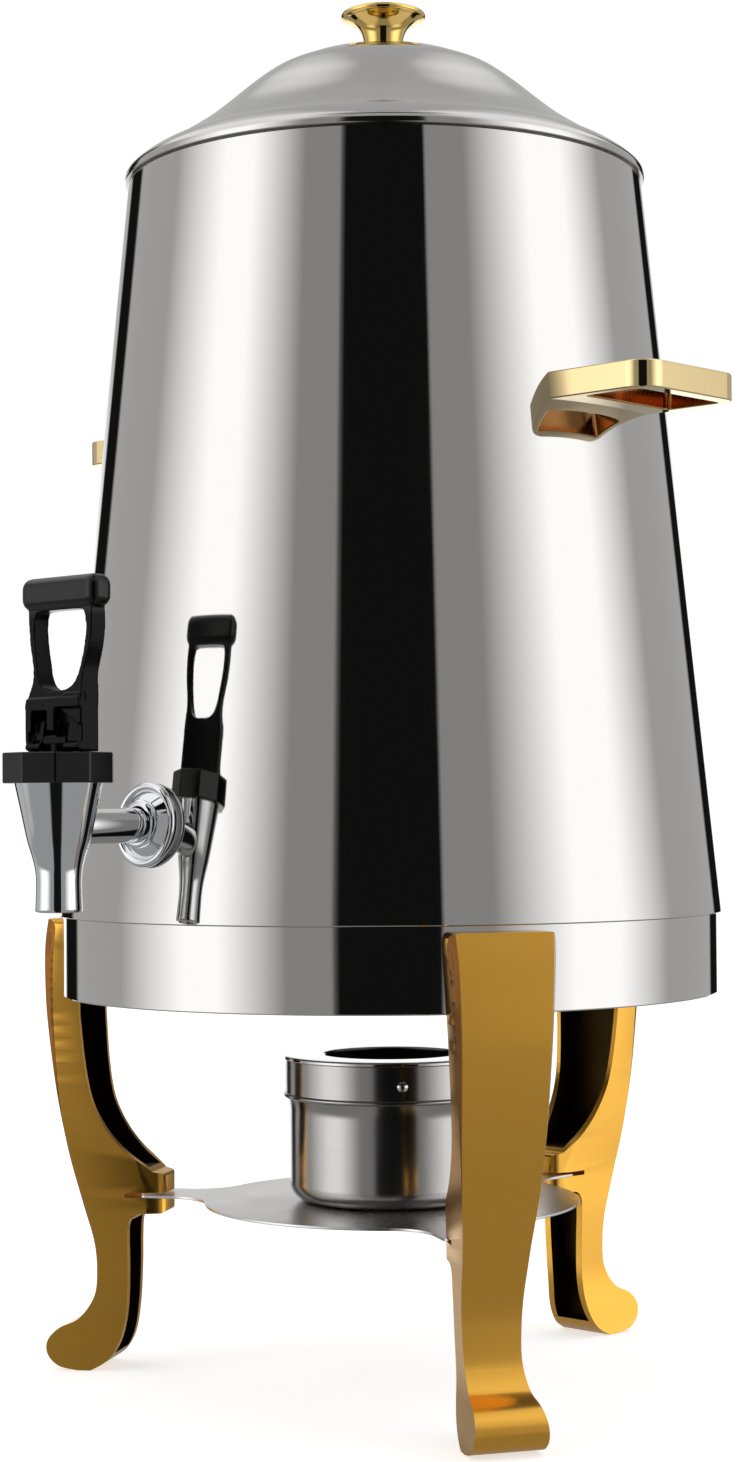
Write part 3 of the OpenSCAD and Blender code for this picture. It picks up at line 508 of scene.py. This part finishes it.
# the band: a strip rolled round the cup's mouth, with a bead at its lower edge
cup_band = lathe([
    (CUP_R, 121.3), *arc(CUP_R + 0.7, 122.5, 1.1, -70, 75, 12),
    (BAND_R, 124.2), (BAND_R, SEAT_Z - 0.3), (BAND_R - 0.3, SEAT_Z), (CUP_R - CUP_T, SEAT_Z),
    (CUP_R - CUP_T, CUP_TOP), (CUP_R, CUP_TOP), (CUP_R, 121.3)], 160)
HOLE_R, SKIRT_FOOT = 28.7, SEAT_Z - 6
cup_lid = lathe([
    (HOLE_R, SKIRT_FOOT), (HOLE_R, SEAT_Z + 0.9), (HOLE_R + 0.5, SEAT_Z + 1.45), (HOLE_R + 1.2, SEAT_Z + 1.7),
    (BAND_R - 1, SEAT_Z + 1.7), (46.3, SEAT_Z + 1.5), (46.6, SEAT_Z + 1.1), (46.6, SEAT_Z + 0.2),
    (46.4, SEAT_Z), (CUP_R - 1.1, SEAT_Z), (CUP_R - 1.1, SKIRT_FOOT), (HOLE_R, SKIRT_FOOT)], 160)
cup_lid.data.materials.append(spun_steel)
# the lid's underside takes the same nearly black painted shade
cut(cup_lid, lathe([
    (HOLE_R - 1, SKIRT_FOOT - 1), (CUP_R - 1.9, SKIRT_FOOT - 1), (CUP_R - 1.9, SEAT_Z), (HOLE_R - 1, SEAT_Z),
    (HOLE_R - 1, SKIRT_FOOT - 1)], 160), surface=cup_inside_painted_shade)
rivets = []
for angle in (-41, 79, 199):
    rivet = lathe([
        (0, -0.6), (2, -0.6), (2, 0), (1.25, 0), (1.25, 1.55), (2.2, 1.55),
        *arc(0, -0.6, 3.1, 44, 90, 8)], 32)
    turned(rivet, (0, 90, 0), (CUP_R - CUP_T, 0, 129.4))
    rivets.append(turned(rivet, (0, 0, angle)))
select_only(*rivets)
bpy.ops.object.join()
band_rivets = rivets[0]


# ---------- side handles ----------

HANDLE_Z, HANDLE_T, HANDLE_X, HANDLE_HALF = 412.9, 11.0, 166.3, 31.35


def round_rectangle(x0, x1, half, r_in, r_out, z):
    """outline of a rectangle whose outer corners are rounded"""
    points = arc(x1 - r_out, half - r_out, r_out, 0, 90, 8) + arc(x0 + r_in, half - r_in, r_in, 90, 180, 8)
    points += arc(x0 + r_in, r_in - half, r_in, 180, 270, 8)
    points += arc(x1 - r_out, r_out - half, r_out, 270, 360, 8)
    return [mm(x, y, z) for x, y in points]


def make_handle():
    outside = round_rectangle(100, HANDLE_X, HANDLE_HALF, 1, 10.5, HANDLE_Z - HANDLE_T / 2)
    inside = round_rectangle(132.5, HANDLE_X - 7.6, HANDLE_HALF - 4.4, 2.5, 2.5, HANDLE_Z - 20)
    handle, opening = slab(outside, mm(0, 0, HANDLE_T)), slab(inside, mm(0, 0, 40))
    handle.data.materials.append(bright_gold)
    # the opening's walls take the deep brown painted shade
    cut(handle, opening, surface=inner_loop_painted_shade)
    round_edges(handle, 0.7, 3, 50)
    return cut(handle, wall_cone(HANDLE_Z - 30, HANDLE_Z + 30))


handle_right = make_handle()
handle_left = turned(copied(handle_right), (0, 0, 180))


# ---------- lid and knob ----------

LID_H = 57.9
lid_top = curve_through([
    (0, LID_H), (12, LID_H), (24, LID_H - 0.2), (33, LID_H - 1.6), (41, LID_H - 4.5), (50, LID_H - 8.6),
    (60, LID_H - 15.9), (70, LID_H - 24.4), (80, LID_H - 32.5), (90, LID_H - 39.3), (98, LID_H - 44.2),
    (104, LID_H - 47.2), (108.6, LID_H - 50.2), (111.6, LID_H - 52.6), (112.8, LID_H - 54.3),
    (113, LID_H - 56.2)], 6)
# its underside, 1 mm inside the top
lid_under = []
for i, (r, z) in enumerate(lid_top):
    (r0, z0), (r1, z1) = lid_top[max(i - 1, 0)], lid_top[min(i + 1, len(lid_top) - 1)]
    run = math.hypot(r1 - r0, z1 - z0)
    lid_under.append((max(r + (z1 - z0) / run, 0), z - (r1 - r0) / run))
lid_rim = arc(112.4, 1.4, 0.6, 0, -90, 4) + [(109.6, 0.8), (109.6, 1.4), (112.0, 1.4)]
lid_profile = lid_top + lid_rim + lid_under[::-1]
lid_shell = lathe([(r, RIM_Z + z) for r, z in lid_profile], 256)
cut(lid_shell, turned(rod(2.55, 40), (0, 0, 0), (0, 0, 550)))

KNOB_Z = RIM_Z + LID_H
knob_side = curve_through([(9.2, 0.8), (8.5, 4), (8.6, 8), (10, 12.2), (13, 15.4), (16.2, 17.1)], 6)
knob = lathe([(r, KNOB_Z + z) for r, z in (
    [(0, 0), (8.8, 0), (9.2, 0.3)] + knob_side + arc(17, 18.5, 1.4, -55, 80, 12)
    + [(16.4, 19.8), (15, 19.45), (9, 19.3), (0, 19.3)])], 128)
cut(knob, turned(rod(2.55, 11), (0, 0, 0), (0, 0, KNOB_Z - 1)))


# ---------- tap ----------

TAP_Y, SHANK_Z = -185.5, 239.4
tap_outside = [(7.5, 206.5), (8.3, 206.5), (8.9, 206.8), (9.2, 207.4), (9.1, 208.6), (8.95, 212.5)]
tap_outside += curve_through([(8.8, 218), (9.2, 223), (10.4, 228), (12.2, 234), (14.6, 245), (17, 256)], 5)
tap_body = lathe(tap_outside + [
    (14.5, 256), (14.5, 261.5), (8.8, 261.5), (8.8, 229), (4.6, 229), (4.6, 225), (7.4, 221), (7.4, 206.7),
    (7.5, 206.5)], 96)
turned(tap_body, move=(0, TAP_Y, 0))
cut(tap_body, turned(rod(7.05, 40, 64), (-90, 0, 0), (0, TAP_Y, SHANK_Z)))

tap_shank = lathe([
    (4.6, 0), (7, 0), (7, 44), (7, 56), (7, 63.1), (4.6, 63.1), (4.6, 0)], 64)
turned(tap_shank, (90, 0, 0), (0, -113, SHANK_Z))

escutcheon = lathe([
    (7.05, 0), (16.7, 0), (16.9, 0.3), *arc(15.3, 1.4, 1.6, 0, 180, 14), (13.5, 0.9), (13.2, 1.0),
    (10.2, 4.0), (9.8, 4.2), (9.6, 5.6), (9.0, 6.2), (8.4, 6.4), (7.05, 6.4), (7.05, 0)], 160)
turned(escutcheon, (90 - WALL_TILT, 0, 0), (0, -shell_r(SHANK_Z) - 0.7, SHANK_Z + 0.07))

bpy.ops.object.select_all(action="DESELECT")
bpy.ops.mesh.primitive_cylinder_add(vertices=10, radius=22 * MM, depth=11.7 * MM)
bonnet = turned(bpy.context.object, turn=(0, 0, 10.8), move=(0, TAP_Y, 261.85))
round_edges(bonnet, 0.6, 3, 30)
cut(bonnet, turned(rod(14.55, 7.5, 64), move=(0, TAP_Y, 255)), turned(rod(3.05, 30), move=(0, TAP_Y, 250)))


# ---------- lever ----------

PIN_Y, PIN_Z = -184.0, 272.0
FORK_TOP, FORK_FOOT = 287.5, 268.0
FORK_BACK, FORK_FRONT, CHEEK_FRONT = -178.8, -189.4, -187.4
GRIP_Y, GRIP_Z, GRIP_HALF = -181.4, 329.3, 22.3


def both_sides(half):
    """a whole front view from the half widths of one side"""
    left = [(-x, z) for x, z in reversed(half) if x > 0.01]
    return half + left


frame_outside = curve_through([
    (16, 284.8), (15.4, 290.4), (14.7, 294.5), (14.8, 298), (15.4, 301.5), (17.2, 307.5), (18.3, 313.5),
    (18.7, 319), (18.7, 329.3)], 5)
frame_opening = curve_through([
    (0, 291.6), (5.6, 291.8), (9.6, 293.7), (11.8, 297.4), (13, 301.6), (14.2, 307), (15, 312), (15.2, 317),
    (14.4, 321), (11.9, 322.4), (0, 322.6)], 5)
frame_side = curve_through([
    (-178.8, 285), (-178.0, 292), (-177.6, 300), (-177.4, 312), (-177.8, 329.3)], 5)
frame_side += curve_through([
    (-185.0, 329.3), (-184.8, 312), (-185.6, 300), (-187.0, 292), (-189.4, 285)], 5)

# the loop: two arms that part above the fork
lever = facing(both_sides(frame_outside), -195, -172)
cut(lever, facing(both_sides(frame_opening), -200, -168))
keep_common(lever, across(frame_side, -30, 30))
round_edges(lever, 1.3, 3, 40)

# the grip: a bar across the top with domed ends
grip = facing(
    arc(GRIP_HALF - 4.5, GRIP_Z - 1.9, 4.5, -90, 0, 6) + arc(GRIP_HALF - 4.5, GRIP_Z + 1.9, 4.5, 0, 90, 6)
    + arc(4.5 - GRIP_HALF, GRIP_Z + 1.9, 4.5, 90, 180, 6)
    + arc(4.5 - GRIP_HALF, GRIP_Z - 1.9, 4.5, 180, 270, 6),
    GRIP_Y - 5.6, GRIP_Y + 5.6)
round_edges(grip, 4.2, 6, 50)

# the fork: a shoulder and a back wall between two cheeks, each with the heel that rolls on the bonnet
shoulder = across([
    (FORK_BACK, 284.5), (FORK_FRONT + 1.4, 284.5), (FORK_FRONT + 0.4, 285.5), (FORK_FRONT + 0.4, 288.6),
    (FORK_BACK, 289.5)], -15.6, 15.6)
back_wall = across([
    (FORK_BACK, FORK_FOOT), (FORK_BACK - 1.2, FORK_FOOT), (FORK_BACK - 1.2, 286), (FORK_BACK, 286)],
    -15.6, 15.6)
heel = [(FORK_BACK, FORK_FOOT)]
for step in range(0, 45, 4):
    a = math.radians(step)
    h = 4 + 2.3 * a
    heel.append((PIN_Y - h * math.sin(a) - 2.3 * math.cos(a), PIN_Z - h * math.cos(a) + 2.3 * math.sin(a)))
heel += [(FORK_FRONT, PIN_Z - 1.4), (CHEEK_FRONT, PIN_Z + 0.6), (PIN_Y - 2.4, PIN_Z + 8),
         (FORK_BACK, PIN_Z + 8)]


def cheek(front, x0, x1):
    """one side wall of the fork, rounded at its lower front corner"""
    side = [(FORK_BACK, FORK_FOOT)] + arc(front + 4.5, FORK_FOOT + 4.7, 4.5, 270, 180, 6)
    return round_edges(across(side + [(front, FORK_TOP), (FORK_BACK, FORK_TOP)], x0, x1), 0.6, 2, 60)


right_cheek = cheek(CHEEK_FRONT, 13.4, 16)
left_cheek = cheek(FORK_FRONT, -15.6, -13.4)
# the front plate on the left, with an arch sunk into it
front_plate = facing(
    [(-15.6, 275.6), (1.7, 275.6), (1.7, FORK_TOP), (-15.6, FORK_TOP)], FORK_FRONT, FORK_FRONT + 2)
round_edges(front_plate, 0.5, 2, 60)
arch = facing(
    [(-12, 270), (-2, 270)] + arc(-3.6, 282.3, 1.6, 0, 90, 4) + arc(-10.4, 282.3, 1.6, 90, 180, 4),
    FORK_FRONT - 1, FORK_FRONT + 3)
cut(front_plate, arch)
rim = facing([(-2, 276.2), (-0.6, 276.2), (-0.6, 286.4), (-2, 286.4)], FORK_FRONT - 0.35, FORK_FRONT + 1)
# the web on the right: it slopes from the arm's foot to the cheek and carries a small round rib
web = facing([
    (2.8, 284.2), (14.4, 278.4), (16, 278.4), (16, 290.5), (5.6, 290.5), (3.2, 287.6), (2.6, 285.6)],
    CHEEK_FRONT - 0.6, CHEEK_FRONT + 2)
round_edges(web, 0.5, 2, 60)
rib = turned(lathe([(0, 0), (1.1, 0.3), (1.4, 1.4), (1.4, 9.6), (0, 11)], 24), turn=(0, 90, 0),
             move=(3.2, CHEEK_FRONT - 0.3, 285.9))
fuse(lever, grip, shoulder, back_wall, across(heel, 7.2, 15.9), across(heel, -15.5, -7.2),
     right_cheek, left_cheek, front_plate, rim, web, rib)
cut(lever, turned(rod(1.5, 28.4, 24), (0, 90, 0), (-14.2, PIN_Y, PIN_Z)))
# the mould's soft corners: the whole lever is remeshed finely and relaxed
modify(lever, "REMESH", mode="VOXEL", voxel_size=0.4 * MM)
modify(lever, "SMOOTH", factor=0.5, iterations=5)
modify(lever, "DECIMATE", ratio=0.5)


# ---------- fitting the pieces to the frame ----------

fit(outer_shell, "urn_wall", "urn", "polished_steel", mirror_steel, "outer_shell")
fit(inner_tank, "drink_tank", "urn", "satin_steel", pressed_steel, "inner_tank", flat_faces=False)
fit(stand_ring, "ring_of_stand", "stand", "polished_steel", mirror_steel, "stand_ring")
fit(shelf_plate, "burner_shelf", "stand", "satin_steel", brushed_plate, "shelf_plate")
fit(fuel_cup, "drawn_fuel_cup", "burner", "satin_steel", turned_steel, "fuel_cup")
fit(cup_band, "rolled_cup_band", "burner", "satin_steel", turned_steel, "cup_band")
fit(band_rivets, "domed_rivets", "burner", "polished_steel", mirror_steel, "band_rivets")
fit(cup_lid, "pressed_cup_lid", "burner_lid", "satin_steel", spun_steel, "cup_lid")
fit(handle_right, "loop_handle_right", "urn", "gold_plate", bright_gold, "handle_right")
fit(handle_left, "loop_handle_left", "urn", "gold_plate", bright_gold, "handle_left")
fit(lid_shell, "domed_lid", "lid", "polished_steel", spun_steel, "lid_shell", flat_faces=False)
fit(knob, "turned_knob", "lid", "gold_plate", knob_gold, "knob", flat_faces=False)
fit(tap_body, "tap_spout", "urn", "chrome_plate", chrome, "tap_body", flat_faces=False)
fit(tap_shank, "tap_pipe", "urn", "chrome_plate", chrome, "tap_shank", flat_faces=False)
fit(escutcheon, "beaded_escutcheon", "urn", "chrome_plate", chrome, "escutcheon", flat_faces=False)
fit(bonnet, "ten_sided_bonnet", "urn", "black_plastic", black_nylon, "bonnet")
fit(lever, "loop_lever", "tap_lever", "black_plastic", lever_nylon, "lever", angle=50,
    flat_faces=False)

CARRIED_OVER = {
    pressed_steel: ("base_ring", "lid_collar"),
    zinc: ("leg_screws", "leg_washers", "handle_backing_plates", "handle_screws", "wall_spacer", "lock_nut",
           "knob_washer", "knob_screw"),
    silicone: ("outer_gasket", "inner_gasket", "bonnet_gasket", "stem_seal", "seat_cup"),
    mirror_steel: ("tap_spring",),
    lever_nylon: ("stem",),
    black_steel: ("lever_pin",),
}
for material, names in CARRIED_OVER.items():
    for name in names:
        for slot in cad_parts[name].material_slots:
            slot.material = material


# ---------- studio ----------

CAMERA_TURN = 43.02     # the camera stands this far round from the tap towards the right-hand handle

# a plain studio, by the angle from the camera's side: a black screen round the camera, grey walls,
# a large softbox on each side, black flags behind them and a pale backdrop
BLACK, WALL, BACK_WALL, OVERHEAD_BOX, BACKDROP, SOFTBOX = 0.06, 0.5, 0.6, 0.85, 0.9, 1.0


def walls(backdrop):
    """the studio round the urn, closed by a backdrop of the given grey"""
    return [
        (-157, backdrop), (-155, BLACK), (-140, BLACK), (-138, BACK_WALL), (-105, BACK_WALL), (-75, SOFTBOX),
        (-60, SOFTBOX), (-35, WALL), (-19, WALL), (-18, BLACK), (17, BLACK), (18, WALL), (35, WALL),
        (65, SOFTBOX), (85, SOFTBOX), (110, BACK_WALL), (147, BACK_WALL), (149, BLACK), (162, BLACK),
        (164, backdrop)]


def both_ways(half):
    """the same stops to the left and to the right"""
    return [(-angle, value) for angle, value in reversed(half)] + half


# an even floor, with the screen's dark foot in it
FLOOR = both_ways([(15, BLACK), (20, WALL)])
# a box over each side, with a grey gap behind the urn and another in front
OVERHEAD = both_ways([(30, BACK_WALL), (60, OVERHEAD_BOX), (155, OVERHEAD_BOX), (168, BACK_WALL)])
# straight up, the camera's side is black
ZENITH = both_ways([(60, BLACK), (100, BACK_WALL)])


def grey(value):
    """a linear grey from its screen value"""
    return tint("#" + format(round(value * 255), "02X") * 3)


def fill_ramp(ramp, stops):
    """puts stops of (angle, grey) on a colour ramp that runs from -180 to 180 degrees"""
    while len(ramp.elements) < len(stops):
        ramp.elements.new(0.5)
    for element, (angle, value) in zip(ramp.elements, stops):
        element.position = 0.5 + angle / 360
        element.color = grey(value)


world = bpy.data.worlds.new("studio")
bpy.context.scene.world = world
world.use_nodes = True
tree = world.node_tree
tree.nodes.clear()
# how far a direction is round from the camera's side, and how high it points
direction = add(tree, "ShaderNodeTexCoord").outputs["Generated"]
facing_camera = add(tree, "ShaderNodeMapping", {
    "Vector": direction, "Rotation": (0, 0, math.radians(90 - CAMERA_TURN))})
angle_round = add(tree, "ShaderNodeTexGradient", {"Vector": facing_camera.outputs["Vector"]},
                  gradient_type="RADIAL").outputs["Fac"]
height = add(tree, "ShaderNodeSeparateXYZ", {"Vector": direction}).outputs["Z"]


def studio_zone(stops):
    """one height's greys, all the way round"""
    zone = add(tree, "ShaderNodeValToRGB", {"Fac": angle_round})
    fill_ramp(zone.color_ramp, stops)
    return zone.outputs["Color"]


def blend_at(bottom, top, below, above):
    """one zone under a height and another over it, as the sine of the elevation"""
    share = add(tree, "ShaderNodeMapRange", {"Value": height, "From Min": bottom, "From Max": top})
    blend = add(tree, "ShaderNodeMixRGB", {"Fac": share.outputs["Result"], "Color1": below, "Color2": above})
    return blend.outputs["Color"]


room = blend_at(-0.3, -0.2, studio_zone(FLOOR), studio_zone(walls(BACKDROP)))
room = blend_at(0.1, 0.2, room, studio_zone(walls(BACK_WALL)))
room = blend_at(0.5, 0.6, room, studio_zone(OVERHEAD))
room = blend_at(0.95, 0.98, room, studio_zone(ZENITH))
studio_light = add(tree, "ShaderNodeBackground", {"Color": room, "Strength": 1.6})
backdrop = add(tree, "ShaderNodeBackground", {"Color": (1, 1, 1, 1), "Strength": 1.0})
seen = add(tree, "ShaderNodeLightPath").outputs["Is Camera Ray"]
mixed = add(tree, "ShaderNodeMixShader", {
    0: seen, 1: studio_light.outputs["Background"], 2: backdrop.outputs["Background"]})
add(tree, "ShaderNodeOutputWorld", {"Surface": mixed.outputs["Shader"]})

# white paper floor: bright to the camera, with the urn's own faint shadow
paper, tree = new_material("matt_white_paper")
fibre = add(tree, "ShaderNodeTexNoise", {
    "Vector": add(tree, "ShaderNodeTexCoord").outputs["Object"], "Scale": 1 / (2 * MM), "Detail": 3.0})
sheet = add(tree, "ShaderNodeMixRGB", {
    "Fac": fibre.outputs["Fac"], "Color1": tint("#E2E1DE"), "Color2": tint("#E6E5E3")})
matt = add(tree, "ShaderNodeBsdfDiffuse", {"Color": sheet.outputs["Color"]})
glow = add(tree, "ShaderNodeEmission", {"Color": (1, 1, 1, 1), "Strength": 0.62})
lit = add(tree, "ShaderNodeAddShader", {0: matt.outputs["BSDF"], 1: glow.outputs["Emission"]})
seen = add(tree, "ShaderNodeLightPath").outputs["Is Camera Ray"]
mixed = add(tree, "ShaderNodeMixShader", {0: seen, 1: matt.outputs["BSDF"], 2: lit.outputs["Shader"]})
add(tree, "ShaderNodeOutputMaterial", {"Surface": mixed.outputs["Shader"]})
bpy.ops.object.select_all(action="DESELECT")
bpy.ops.mesh.primitive_plane_add(size=14, location=(0, 0, -0.0002))
floor = bpy.context.object
bpy.ops.object.transform_apply(location=True, rotation=True, scale=True)
floor.name = "floor"
floor.data.materials.append(paper)
floor.visible_glossy = False


# ---------- camera ----------

CAMERA_DISTANCE, CAMERA_HEIGHT = 1142.25, 245.9
YAW, PITCH, ROLL = (math.radians(a) for a in (-0.327, 1.662, -0.415))
turn = math.radians(CAMERA_TURN)
up = Vector((0, 0, 1))
ahead = Vector((-math.sin(turn), math.cos(turn), 0))
aside = Vector((math.cos(turn), math.sin(turn), 0))
ahead, aside = ahead * math.cos(YAW) + aside * math.sin(YAW), aside * math.cos(YAW) - ahead * math.sin(YAW)
ahead, up = ahead * math.cos(PITCH) + up * math.sin(PITCH), up * math.cos(PITCH) - ahead * math.sin(PITCH)
aside, up = aside * math.cos(ROLL) + up * math.sin(ROLL), up * math.cos(ROLL) - aside * math.sin(ROLL)
bpy.ops.object.camera_add()
camera = bpy.context.object
spot = mm(CAMERA_DISTANCE * math.sin(turn), -CAMERA_DISTANCE * math.cos(turn), CAMERA_HEIGHT)
camera.matrix_world = Matrix.Translation(spot) @ Matrix((aside, up, -ahead)).transposed().to_4x4()
camera.data.sensor_fit = "VERTICAL"
camera.data.sensor_height = 36
camera.data.lens = 64.709
bpy.context.scene.camera = camera
bpy.context.scene.view_settings.view_transform = "Standard"
